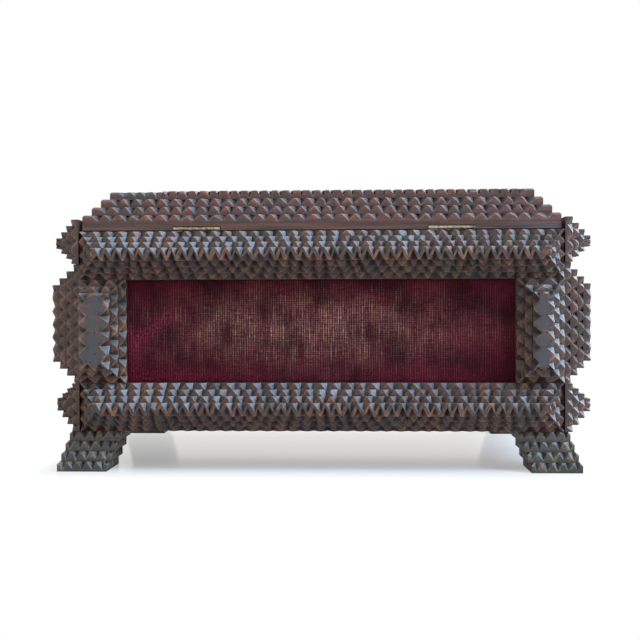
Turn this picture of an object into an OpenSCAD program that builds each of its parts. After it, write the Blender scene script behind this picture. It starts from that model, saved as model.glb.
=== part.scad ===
// Tramp art box: a small hinged casket of thin boards. Every wall is framed by rails and corner posts,
// each a stack of carved strips that narrow toward the outside, round a velvet panel.
// The lid rises in four carved tiers, and the box stands on four stacked, splayed feet.
// The hinge side faces -Y, the ends face -X and +X, and the feet stand on Z = 0. Sizes in millimetres.

/* [Board box] */
// Outer width of the plain board box
box_w = 272; // [220:1:330]
// Outer depth of the plain board box
box_d = 170; // [130:1:230]
// Height of the board walls
wall_h = 113.2; // [100:0.1:150]
// Thickness of the wall boards
board_t = 7; // [6:0.5:10]
// Thickness of the bottom board
bottom_t = 6; // [4:0.5:9]

/* [Carved strips] */
// Thickness of one carved strip
layer_t = 4.4; // [3.6:0.1:5]
// Strips in each rail and in each post of the ends
layers = 4; // [2:1:4]
// Strips in each post of the back and front
post_layers = 3; // [2:1:3]
// Glue line on the outer face of each strip and foot plate
glue_t = 0.05; // [0.02:0.01:0.2]
// Height of the lowest strip of a rail
rail_h = 27; // [25:0.5:32]
// Set-back of each next strip of a rail, above and below
rail_step = 3.3; // [2.4:0.1:3.5]
// Set-back of each next strip of a long rail, at both ends
rail_end_step = 3.2; // [2:0.1:5]
// Set-back of each next strip of an end wall's rail, at both ends
end_rail_step = 5; // [2:0.1:6]
// Height of the lowest strip of the raised top rails on the ends
crest_h = 25; // [24:0.5:30]
// Set-back of each next strip of those rails, above and below
crest_step = 3.15; // [2.4:0.05:3.3]
// Rise of those rails above the walls
crest_rise = 6.2; // [2:0.1:9]
// Gap between the ends of the long rails and the stacks on the end walls
rail_gap = 0.4; // [0.2:0.1:2]
// Width of the lowest strip of a corner post
post_w = 26.5; // [25:0.5:32]
// Set-back of each next strip of a back or front post, at the sides
post_step = 3.75; // [2.4:0.05:4]
// Set-back of each next strip of an end post, at the sides
end_post_step = 3.3; // [2.4:0.1:3.4]
// Set-back of each next strip of a post, at top and bottom
post_end_step = 3.9; // [2:0.1:5]
// Set-back at the corner of the two rear left posts, whose strips were set further out than the others
corner_step = 1; // [0:0.1:3]

/* [Notches] */
// Distance between the notches of a rail's lowest strip, evened out along each edge
notch_pitch = 7.5; // [6:0.1:10]
// How much closer the notches are on each next strip of a rail
pitch_step = 0.5; // [0:0.1:0.6]
// Distance between the notches of a post's strips
post_pitch = 7.9; // [6:0.1:10]
// Depth of a notch down the edge of a strip
notch_edge = 3.2; // [1.5:0.1:3.4]
// Reach of a notch across the face of a strip
notch_face = 5; // [2:0.1:5.5]
// Reach on the narrow outer strip of a rail, as a share of its height: its two rows are staggered
ridge_share = 0.7; // [0.5:0.05:0.75]
// Reach on the outer strip of a post, at most, as a share of its width: a flat is left in the middle
flat_share = 0.36; // [0.2:0.02:0.44]
// Reach on the ends of a strip, at most, as a share of its width
end_share = 0.45; // [0.3:0.05:0.48]
// Flat left on the tip of each tooth
tooth_land = 0.8; // [0.3:0.1:1.5]

/* [Velvet] */
// Thickness of the velvet with its backing
velvet_t = 1; // [0.5:0.1:1.2]
// Gap between the velvet and the strips that frame it
velvet_gap = 0.3; // [0.1:0.1:1]

/* [Feet] */
// Width of a square foot plate
foot_w = 28; // [24:0.5:36]
// Thickness of a foot plate
foot_plate_t = 5.5; // [4.5:0.1:7]
// Plates in a foot
foot_plates = 4; // [2:1:6]
// How far the top plate stands out past the wall
foot_out = 4.3; // [0:0.1:6]
// How far each lower plate stands out past the one above
foot_splay = 1.9; // [0:0.1:4]
// How far the four feet were set to the left of even
foot_shift = 1.4; // [-3:0.1:3]
// Distance between the notches of a foot plate
foot_pitch = 6; // [5:0.1:8]
// Depth of a foot plate's notch down its edge
foot_notch = 4.3; // [2:0.1:4.3]
// Reach of a foot plate's notch across its upper face
foot_reach = 3.3; // [1.5:0.1:4.5]

/* [Lid] */
// Thickness of the lid board
lid_board_t = 3.8; // [3.4:0.1:6]
// Overhang of the lid past the back and front walls
lid_overhang = 2.3; // [1.8:0.1:3.5]
// Gap between the lid's ends and the raised end rails
lid_end_gap = 1.7; // [0.5:0.1:4]
// Thickness of a carved lid tier
tier_t = 4.95; // [4:0.05:7]
// Set-back of each next tier, all round
tier_step = 4.2; // [2:0.1:8]
// Distance between the notches of the three lower tiers
tier_pitch = 7.6; // [5.5:0.1:10]
// Distance between the notches of the top tier
top_pitch = 6; // [5:0.1:8]
// Depth of a tier's notch down its edge
tier_notch = 3.4; // [1.5:0.1:3.8]
// Reach of a tier's notch across its upper face, partly under the next tier
tier_reach = 7; // [3:0.1:9]
// Length of the replaced piece in the top tier
patch_w = 30.2; // [20:0.1:60]
// Depth of the replaced piece from the rear edge
patch_d = 14; // [10:0.5:30]
// How much lower the replaced piece is than the tier it mends
patch_drop = 0.5; // [0:0.1:1]
// Joint round the replaced piece
patch_gap = 0.3; // [0.1:0.1:0.8]

/* [Hinges] */
// Length of a hinge
hinge_l = 25.4; // [18:0.1:40]
// Distance from the middle of the box to the middle of a hinge
hinge_x = 71.5; // [40:0.5:90]
// How far both hinges were set to the right of even
hinge_shift = 2.4; // [-5:0.1:5]
// Width of a leaf from the pin's axis
leaf_w = 7.8; // [6.5:0.1:8.2]
// Thickness of a leaf
leaf_t = 0.7; // [0.5:0.1:1]
// Outer diameter of the knuckles
barrel_d = 2.4; // [2.2:0.1:3.2]
// Diameter of the pin
pin_d = 1; // [0.8:0.1:1.3]
// Knuckles in a hinge
knuckles = 5; // [3:2:7]
// Gap between neighbouring knuckles
knuckle_gap = 0.25; // [0.1:0.05:0.5]
// Gap between the knuckles and the long rail under them
barrel_lift = 0.2; // [0.1:0.05:0.6]
// Clearance round a knuckle in the lid and in the other leaf
knuckle_clear = 0.3; // [0.15:0.05:0.5]
// Radial clearance round the pin
pin_clear = 0.05; // [0.02:0.01:0.1]
// Thickness of the pin's end buttons
button_t = 0.4; // [0.2:0.1:0.8]

/* [Screws] */
// Distance between the two screws of a leaf
screw_pitch = 14; // [10:0.5:16]
// Distance of the screws from the pin's axis
screw_y = 5.2; // [4.6:0.1:5.6]
// Diameter of a screw's shank
screw_d = 1.6; // [1.2:0.1:2]
// Diameter of a screw's head
screw_head_d = 3.2; // [2.6:0.1:3.6]
// Length of the screws into the back board
body_screw_l = 7; // [4:0.5:12]
// Length of the screws into the lid board
lid_screw_l = 3.2; // [2:0.1:3.2]
// Clearance round a screw in the brass and in the wood
screw_clear = 0.05; // [0.02:0.01:0.2]
// Depth of a screw head below the leaf's face
screw_sink = 0.1; // [0.05:0.05:0.2]

/* [Hidden] */
$fn = 48;
eps = 0.5;
wood = [0.38, 0.24, 0.19];
dark_wood = [0.30, 0.19, 0.15];
velvet = [0.37, 0.08, 0.17];
brass = [0.72, 0.62, 0.36];

// The board box: half width, half depth, underside and top of the walls
hw = box_w / 2;
hd = box_d / 2;
wall_z = foot_plates * foot_plate_t;
wall_top = wall_z + wall_h;

// The long rails stop level with the underside of the hinge leaves, which lie over them
rail_top = wall_top - leaf_t;
low_rail_top = wall_z + rail_h;
crest_top = wall_top + crest_rise;
crest_z = crest_top - crest_h;
long_rail_l = box_w - 2 * rail_gap;
end_rail_l = box_d + 2 * layer_t;
post_h = rail_top - rail_h - low_rail_top;
end_post_h = crest_z - low_rail_top;

// The lid, and the hinge axis on its rear edge, above the long rail
lid_w = box_w - 2 * lid_end_gap;
lid_d = box_d + 2 * lid_overhang;
tier_z = wall_top + lid_board_t;
top_tier = 3;
patch_x = -lid_w / 2 + top_tier * tier_step;
patch_y = -lid_d / 2 + top_tier * tier_step;
patch_z = tier_z + top_tier * tier_t;
axis_y = -lid_d / 2;
axis_z = rail_top + barrel_lift + barrel_d / 2;
knuckle_l = (hinge_l - (knuckles - 1) * knuckle_gap) / knuckles;

// A row of V notches along X over length l, as the solid to cut away. The edge lies on y = 0 with the
// wood at y > 0, and the arris at height t. Each valley runs straight from depth ce on the edge to
// reach cf on the face. A shifted row has its valleys where an unshifted row has its teeth.
module notch_row(l, t, ce, cf, pitch, shifted) {
    n = max(2, round(l / pitch));
    p = l / n;
    slant = sqrt(ce * ce + cf * cf);
    peak = ce * cf / slant * p / (p - tooth_land);
    valleys = shifted ? [for (i = [1 : n - 1]) i * p] : [for (i = [0 : n - 1]) (i + 0.5) * p];
    zigzag = [for (x = valleys) each [[x - p / 2, peak], [x, 0]]];
    ends = shifted ? [[l - p / 2, peak], [l, peak]] : [[l, peak]];
    cap = [[l, peak + eps], [0, peak + eps]];
    start = shifted ? [[0, peak]] : [];
    translate([-l / 2, 0, t - ce])
        rotate([atan2(cf, -ce), 0, 0])
            translate([0, 0, -slant - eps])
                linear_extrude(slant + 2 * eps)
                    polygon(concat(start, zigzag, ends, cap));
}

// A board w by h, t thick, standing on z = 0 and notched along the upper arris of its four edges.
// On a narrow strip that lies along, the two long rows are staggered and leave a zigzag ridge between
// them. On a narrow strip that stands up, they are level and leave a flat.
module notched_board(w, h, t, ce, cf, pitch) {
    tall = h > w;
    short = min(w, h);
    reach = min(cf, (tall ? flat_share : ridge_share) * short);
    end_reach = min(cf, end_share * short);
    staggered = !tall && short < 2 * cf + tooth_land;
    difference() {
        translate([-w / 2, -h / 2, 0])
            cube([w, h, t]);
        for (turn = [0, 180]) {
            rotate(turn)
                translate([0, -h / 2, 0])
                    notch_row(w, t, ce, tall ? end_reach : reach, pitch, staggered && turn == 180);
            rotate(turn + 90)
                translate([0, -w / 2, 0])
                    notch_row(h, t, ce, tall ? reach : end_reach, pitch, false);
        }
    }
}

// A stack of n carved strips, w by h at the wall and smaller with each strip outward along Z.
// closer is how much the notch pitch falls from strip to strip, and aside how far each strip moves along X.
module stack(n, w, h, step_w, step_h, pitch, closer = 0, aside = 0) {
    for (i = [0 : n - 1])
        translate([i * aside, 0, i * layer_t])
            notched_board(w - 2 * i * step_w, h - 2 * i * step_h, layer_t - glue_t,
                          notch_edge, notch_face, pitch - i * closer);
}

// Lays what is drawn on XY against an upright wall: X along the wall, Y up, Z out of it.
// turn is 0 for the back, 180 for the front, 90 for the right end and -90 for the left end.
module on_wall(turn) {
    rotate(turn)
        translate([0, turn % 180 == 0 ? -hd : -hw, 0])
            rotate([90, 0, 0])
                children();
}

module long_rail(turn, z_mid) {
    color(wood)
        on_wall(turn)
            translate([0, z_mid, 0])
                stack(layers, long_rail_l, rail_h, rail_end_step, rail_step, notch_pitch, pitch_step);
}

module end_rail(turn) {
    color(wood)
        on_wall(turn)
            translate([0, wall_z + rail_h / 2, 0])
                stack(layers, end_rail_l, rail_h, end_rail_step, rail_step, notch_pitch, pitch_step);
}

module crest_rail(turn) {
    color(wood)
        on_wall(turn)
            translate([0, crest_top - crest_h / 2, 0])
                stack(layers, end_rail_l, crest_h, end_rail_step, crest_step, notch_pitch, pitch_step);
}

// A corner post. outer is the set-back of each next strip on the side at the corner.
module post(turn, side, outer) {
    long = turn % 180 == 0;
    half = long ? hw : hd;
    h = long ? post_h : end_post_h;
    inner = long ? post_step : end_post_step;
    color(wood)
        on_wall(turn)
            translate([side * (half - post_w / 2), low_rail_top + h / 2, 0])
                stack(long ? post_layers : layers, post_w, h, (inner + outer) / 2, post_end_step,
                      post_pitch, aside = side * (inner - outer) / 2);
}

module velvet_panel(turn) {
    half = turn % 180 == 0 ? hw : hd;
    h = turn % 180 == 0 ? post_h : end_post_h;
    w = 2 * (half - post_w - velvet_gap);
    color(velvet)
        on_wall(turn)
            translate([-w / 2, low_rail_top + velvet_gap, 0])
                cube([w, h - 2 * velvet_gap, velvet_t]);
}

module foot(x_side, y_side) {
    color(dark_wood)
        for (i = [0 : foot_plates - 1])
            translate([x_side * (hw + foot_out - foot_w / 2 + i * foot_splay) - foot_shift,
                       y_side * (hd + foot_out - foot_w / 2 + i * foot_splay),
                       wall_z - (i + 1) * foot_plate_t])
                notched_board(foot_w, foot_w, foot_plate_t - glue_t,
                              foot_notch, foot_reach, foot_pitch);
}

// The boards: the long walls run the full width, the end walls and the bottom fit between them
module board_back() {
    color(dark_wood)
        difference() {
            long_wall();
            hinge_mortises();
            screw_holes(body_screw_l, -1);
        }
}

module board_front() {
    color(dark_wood)
        rotate(180)
            long_wall();
}

module long_wall() {
    translate([-hw, -hd, wall_z])
        cube([box_w, board_t, wall_h]);
}

module hinge_mortises() {
    for (side = [-1, 1])
        translate([hinge_at(side) - hinge_l / 2 - knuckle_gap, axis_y, wall_top - leaf_t])
            cube([hinge_l + 2 * knuckle_gap, leaf_w + knuckle_gap, leaf_t + eps]);
}

module end_wall(side) {
    color(dark_wood)
        translate([side > 0 ? hw - board_t : -hw, -hd + board_t, wall_z])
            cube([board_t, box_d - 2 * board_t, wall_h]);
}

module board_left() { end_wall(-1); }

module board_right() { end_wall(1); }

module board_bottom() {
    color(dark_wood)
        translate([-hw + board_t, -hd + board_t, wall_z])
            cube([box_w - 2 * board_t, box_d - 2 * board_t, bottom_t]);
}

module velvet_back() { velvet_panel(0); }

module velvet_front() { velvet_panel(180); }

module velvet_left() { velvet_panel(-90); }

module velvet_right() { velvet_panel(90); }

module rail_back_top() { long_rail(0, rail_top - rail_h / 2); }

module rail_back_bottom() { long_rail(0, wall_z + rail_h / 2); }

module rail_front_top() { long_rail(180, rail_top - rail_h / 2); }

module rail_front_bottom() { long_rail(180, wall_z + rail_h / 2); }

module rail_left_top() { crest_rail(-90); }

module rail_left_bottom() { end_rail(-90); }

module rail_right_top() { crest_rail(90); }

module rail_right_bottom() { end_rail(90); }

module post_back_left() { post(0, -1, corner_step); }

module post_back_right() { post(0, 1, post_step); }

module post_front_left() { post(180, 1, post_step); }

module post_front_right() { post(180, -1, post_step); }

module post_left_back() { post(-90, 1, corner_step); }

module post_left_front() { post(-90, -1, end_post_step); }

module post_right_back() { post(90, -1, end_post_step); }

module post_right_front() { post(90, 1, end_post_step); }

module foot_back_left() { foot(-1, -1); }

module foot_back_right() { foot(1, -1); }

module foot_front_left() { foot(-1, 1); }

module foot_front_right() { foot(1, 1); }

// The lid: a plain board with a recess for each hinge, and four carved tiers on it
module lid_board() {
    color(wood)
        difference() {
            translate([-lid_w / 2, -lid_d / 2, wall_top])
                cube([lid_w, lid_d, lid_board_t]);
            for (side = [-1, 1]) {
                translate([hinge_at(side) - hinge_l / 2 - button_t - knuckle_gap,
                           axis_y - eps, wall_top - eps])
                    cube([hinge_l + 2 * (button_t + knuckle_gap),
                          barrel_d / 2 + knuckle_clear + eps,
                          axis_z - wall_top + barrel_d / 2 + knuckle_clear + eps]);
                translate([hinge_at(side) - hinge_l / 2 - knuckle_gap, axis_y, wall_top - eps])
                    cube([hinge_l + 2 * knuckle_gap, leaf_w + knuckle_gap, leaf_t + eps]);
            }
            screw_holes(lid_screw_l, 1);
        }
}

// Tier i of the lid, counted from 0 at the board, t thick
module lid_tier(i, t) {
    translate([0, 0, tier_z + i * tier_t])
        notched_board(lid_w - 2 * i * tier_step, lid_d - 2 * i * tier_step, t,
                      tier_notch, tier_reach, i == top_tier ? top_pitch : tier_pitch);
}

// The rear left corner of the top tier, where a piece was replaced
module patch_corner(w, d) {
    translate([patch_x - eps, patch_y - eps, patch_z - eps])
        cube([w + eps, d + eps, tier_t + 2 * eps]);
}

module lid_tier_1() { color(wood) lid_tier(0, tier_t); }

module lid_tier_2() { color(wood) lid_tier(1, tier_t); }

module lid_tier_3() { color(wood) lid_tier(2, tier_t); }

module lid_tier_4() {
    color(wood)
        difference() {
            lid_tier(top_tier, tier_t);
            patch_corner(patch_w + patch_gap, patch_d + patch_gap);
        }
}

module lid_patch() {
    color(dark_wood)
        intersection() {
            lid_tier(top_tier, tier_t - patch_drop);
            patch_corner(patch_w, patch_d);
        }
}

// A round along X on the hinge axis, from x past the middle of the hinge at side
module along_axis(side, x, l, d) {
    translate([hinge_at(side) + x, axis_y, axis_z])
        rotate([0, 90, 0])
            cylinder(d = d, h = l);
}

// Middle of the hinge at side
function hinge_at(side) = side * hinge_x + hinge_shift;

// Left end of knuckle k of a hinge
function knuckle_x(k) = -hinge_l / 2 + k * (knuckle_l + knuckle_gap);

// A leaf with its knuckles: the body leaf has the even ones and lies below the joint,
// the lid leaf has the odd ones and lies above it.
module leaf(side, odd) {
    z = odd == 1 ? wall_top : wall_top - leaf_t;
    color(brass)
        difference() {
            union() {
                translate([hinge_at(side) - hinge_l / 2, axis_y, z])
                    cube([hinge_l, leaf_w, leaf_t]);
                for (k = [odd : 2 : knuckles - 1])
                    along_axis(side, knuckle_x(k), knuckle_l, barrel_d);
            }
            for (k = [1 - odd : 2 : knuckles - 1])
                translate([hinge_at(side) + knuckle_x(k) - knuckle_gap,
                           axis_y - barrel_d, axis_z - barrel_d])
                    cube([knuckle_l + 2 * knuckle_gap,
                          barrel_d * 1.5 + knuckle_clear, 2 * barrel_d]);
            along_axis(side, -hinge_l / 2 - eps, hinge_l + 2 * eps, pin_d + 2 * pin_clear);
            screw_holes(eps, odd == 1 ? 1 : -1);
        }
}

// The pin, with a button at each end that bears on the outer knuckles
module pin(side) {
    color(brass) {
        along_axis(side, -hinge_l / 2, hinge_l, pin_d);
        for (x = [-hinge_l / 2 - button_t, hinge_l / 2])
            along_axis(side, x, button_t, barrel_d);
    }
}

module hinge_left_body_leaf() { leaf(-1, 0); }

module hinge_left_lid_leaf() { leaf(-1, 1); }

module hinge_left_pin() { pin(-1); }

module hinge_right_body_leaf() { leaf(1, 0); }

module hinge_right_lid_leaf() { leaf(1, 1); }

module hinge_right_pin() { pin(1); }

// Places of the four screws of the leaves that lie above (dir 1) or below (dir -1) the joint,
// with Z pointing from the head into the wood
module at_screws(dir) {
    for (side = [-1, 1], x = [-screw_pitch / 2, screw_pitch / 2])
        translate([hinge_at(side) + x, axis_y + screw_y, wall_top])
            rotate([dir > 0 ? 0 : 180, 0, 0])
                children();
}

// A countersunk shape: from the depth of its face the head's cone fills the leaf, and the shank goes on
// for l. grow widens it all round.
module screw_form(l, grow) {
    translate([0, 0, screw_sink]) {
        cylinder(d1 = screw_head_d + 2 * grow, d2 = screw_d + 2 * grow, h = leaf_t - screw_sink);
        cylinder(d = screw_d + 2 * grow, h = leaf_t - screw_sink + l);
    }
}

// The room for the four screws in one turned outline: open above the head, then the cone, then the shank
module screw_holes(l, dir) {
    head = screw_head_d / 2 + screw_clear;
    shank = screw_d / 2 + screw_clear;
    end = leaf_t + l + screw_clear;
    at_screws(dir)
        rotate_extrude()
            polygon([[0, -eps], [head, -eps], [head, screw_sink], [shank, leaf_t], [shank, end], [0, end]]);
}

module screws(l, dir) {
    color(brass)
        at_screws(dir)
            difference() {
                screw_form(l - leaf_t, 0);
                translate([-screw_head_d, -screw_d / 8, -eps])
                    cube([2 * screw_head_d, screw_d / 4, eps + screw_sink + leaf_t / 3]);
            }
}

module screws_body() { screws(body_screw_l, -1); }

module screws_lid() { screws(lid_screw_l, 1); }

board_back();
board_front();
board_left();
board_right();
board_bottom();
velvet_back();
velvet_front();
velvet_left();
velvet_right();
rail_back_top();
rail_back_bottom();
rail_front_top();
rail_front_bottom();
rail_left_top();
rail_left_bottom();
rail_right_top();
rail_right_bottom();
post_back_left();
post_back_right();
post_front_left();
post_front_right();
post_left_back();
post_left_front();
post_right_back();
post_right_front();
foot_back_left();
foot_back_right();
foot_front_left();
foot_front_right();
lid_board();
lid_tier_1();
lid_tier_2();
lid_tier_3();
lid_tier_4();
lid_patch();
hinge_left_body_leaf();
hinge_left_lid_leaf();
hinge_left_pin();
hinge_right_body_leaf();
hinge_right_lid_leaf();
hinge_right_pin();
screws_body();
screws_lid();
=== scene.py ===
import math

import bpy
import numpy as np
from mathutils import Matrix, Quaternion, Vector


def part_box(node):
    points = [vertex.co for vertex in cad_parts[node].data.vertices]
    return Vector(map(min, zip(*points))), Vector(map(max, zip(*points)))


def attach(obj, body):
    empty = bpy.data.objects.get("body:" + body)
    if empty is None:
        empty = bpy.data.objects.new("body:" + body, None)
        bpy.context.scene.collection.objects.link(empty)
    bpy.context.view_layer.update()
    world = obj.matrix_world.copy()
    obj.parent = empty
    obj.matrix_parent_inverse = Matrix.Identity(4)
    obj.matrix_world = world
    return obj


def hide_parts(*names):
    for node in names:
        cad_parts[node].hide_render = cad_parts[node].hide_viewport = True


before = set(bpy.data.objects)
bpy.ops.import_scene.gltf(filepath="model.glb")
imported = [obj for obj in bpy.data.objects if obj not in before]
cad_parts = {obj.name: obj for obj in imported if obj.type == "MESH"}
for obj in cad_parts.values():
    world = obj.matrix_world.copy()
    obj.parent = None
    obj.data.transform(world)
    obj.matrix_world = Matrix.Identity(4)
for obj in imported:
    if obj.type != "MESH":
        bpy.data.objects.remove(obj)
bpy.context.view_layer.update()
SEED = 1312
rng = np.random.default_rng(SEED)

# A millimetre in metres
MM = 0.001

# Sizes in millimetres, the same as in the solids. A step is what a strip is smaller by, on each side, than
# the strip under it
STRIP_T = 4.4
GLUE_T = 0.05
STRIPS = 4
POST_STRIPS = 3
RAIL_STEP = 3.3
RAIL_END_STEP = 3.2
END_RAIL_STEP = 5.0
CREST_STEP = 3.15
POST_STEP = 3.75
END_POST_STEP = 3.3
POST_END_STEP = 3.9
CORNER_STEP = 1.0
FOOT_T = 5.5
FOOT_W = 28.0
FOOT_SPLAY = 1.9
FOOT_PLATES = 4
PATCH_W = 30.2
PATCH_D = 14.0
PATCH_GAP = 0.3
VELVET_T = 1.0

# The notches in millimetres: the pitch on each strip from the innermost outward, the depth down the edge,
# and the reach across the face
RAIL_PITCH = (7.5, 7.0, 6.5, 6.0)
POST_PITCH = (7.9,) * STRIPS
NOTCH_EDGE = 3.2
NOTCH_FACE = 5.0
FOOT_PITCH = 6.0
FOOT_NOTCH = 4.3
FOOT_REACH = 3.3
TIER_PITCH = (7.8, 7.2, 7.6, 6.0)
TIER_NOTCH = (3.5, 4.1, 4.1, 3.4)
TIER_REACH = 5.6
TOP_REACH = 3.4
PATCH_PITCH = 6.2
PATCH_NOTCH = 2.8
PATCH_REACH = 3.0
# Reach at the rear left corner, where the strips lie nearly level
CORNER_REACH = 1.4
# The longest reach as a share of a narrow board's width: staggered rows, rows face to face, and end rows
RIDGE_SHARE = 0.7
FLAT_SHARE = 0.36
END_SHARE = 0.45
# What is left standing where two rows would meet, and the lands and bevels of teeth, corners and seams
THIN_RIDGE = 0.3
TOOTH_LAND = 0.7
CORNER_LAND = 0.3
CORNER_BEVEL = 0.2
SEAM_BEVEL = 0.06
# A notch stays on its own side of the line from a corner to the middle, by this share
INSIDE = 0.9
# A worn corner takes at most this share of the way to the next valley
CORNER_ROOM = 0.8
# A corner's bevel grows by this share of its wear
CORNER_ROUND = 0.7

# The carver's hand: how far valleys and teeth stray and valleys lean, as shares of the pitch, and how lands
# and depths vary, as shares of the usual ones
VALLEY_STRAY = 0.1
TOOTH_STRAY = 0.06
LEAN_STRAY = 0.09
LAND_RANGE = (0.5, 1.5)
CUT_SPREAD = 0.07
SHALLOWEST_CUT = 0.8
DEEPEST_CUT = 1.15

# Wear: each tooth is rubbed down by a share of the notch's depth, and a few are chipped further
RUBBED_TOOTH = (0.02, 0.12)
CHIPPED_TEETH = 0.05
CHIPPED_TOOTH = (0.25, 0.5)
# Wear of a kind of board: the teeth's lands in millimetres, the shares by which teeth and corners are
# rubbed down, and the plain length in millimetres beside a corner
FRESH = {"land": TOOTH_LAND, "teeth": 0.0, "corners": 0.1, "margin": 0.0}
FOOT_WEAR = {"land": 1.2, "teeth": 0.12, "corners": 0.4, "margin": 0.0}
TIER_WEAR = {"land": TOOTH_LAND, "teeth": 0.03, "corners": 0.3, "margin": 4.8}
TOP_WEAR = dict(TIER_WEAR, land=2.6)
# At the rear left corner the pale arrises, rubbed wood with a painted highlight, are wider, so
# distances from them count for less
CORNER_RUB_AND_HIGHLIGHT = 0.35

# A notch's flank is drawn at these shares of the way from the edge to the face, and has these shares of
# soil and painted shade. Soil and painted shade also lie at the foot of an edge and on a rim past each
# notch, and a notch's lip stays free of both
ALONG_NOTCH = np.array([0.0, 0.5, 1.0])
SOIL_AND_SHADE_UP_NOTCH = np.array([0.25, 0.85, 1.0])
FOOT_SOIL_AND_SHADE = 0.7
SOIL_AND_SHADE_RIM = 1.2
UNDARKENED_LIP = 0.15
# Distance from the arris that the underside of a board is given
FAR_FROM_ARRIS = 9.0
# Brads that show, on the two rear posts and a rear foot
BRADS = ((-124.7, -98.2, 77.6), (-124.7, -98.2, 66.2), (124.2, -98.2, 77.6), (124.0, -89.3, 20.3))

# Each board's grain comes from its own place in a plank this long and wide
PLANK = 900.0
# Decimals of a length, the least length that counts, the shortest middle line of a board, and the welding
# steps in a millimetre
DECIMALS = 3
LEAST = 1e-6
LEAST_RIDGE = 1e-3
WELD_STEPS = 1e4

# Velvet, in millimetres: the step of its grid, how far it lies back in its solid, how far it swells, and
# how deep and how wide its rim tucks in
CLOTH_STEP = 0.9
CLOTH_BACK = 0.2
CLOTH_SWELL = 0.12
TUCK_DEPTH = 0.5
TUCK_WIDTH = 0.8


def linear(code):
    """Linear RGBA of an sRGB hex colour."""
    c = np.array([int(code[i:i + 2], 16) for i in (1, 3, 5)]) / 255
    c = np.where(c <= 0.04045, c / 12.92, ((c + 0.055) / 1.055) ** 2.4)
    return (*map(float, c), 1.0)


def connect(tree, node, **inputs):
    """Links or sets a node's inputs by name, or by place as _0, _1."""
    for key, value in inputs.items():
        at = int(key[1:]) if key[0] == "_" else key.replace("_", " ")
        if isinstance(value, bpy.types.NodeSocket):
            tree.links.new(value, node.inputs[at])
        else:
            node.inputs[at].default_value = value


def add_node(tree, kind, settings=None, **inputs):
    """Adds a node, sets its properties, and links or sets its inputs."""
    node = tree.nodes.new(kind)
    for key, value in (settings or {}).items():
        setattr(node, key, value)
    connect(tree, node, **inputs)
    return node


def new_material(name):
    """A node material with a Principled shader: its tree, the shader and the material."""
    material = bpy.data.materials.new(name)
    material.use_nodes = True
    return material.node_tree, material.node_tree.nodes["Principled BSDF"], material


# Materials. A pattern's size is in millimetres. A ramp is a value, where it starts and ends, and what it
# gives there. The layers of colour go from the bare material outward


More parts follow.
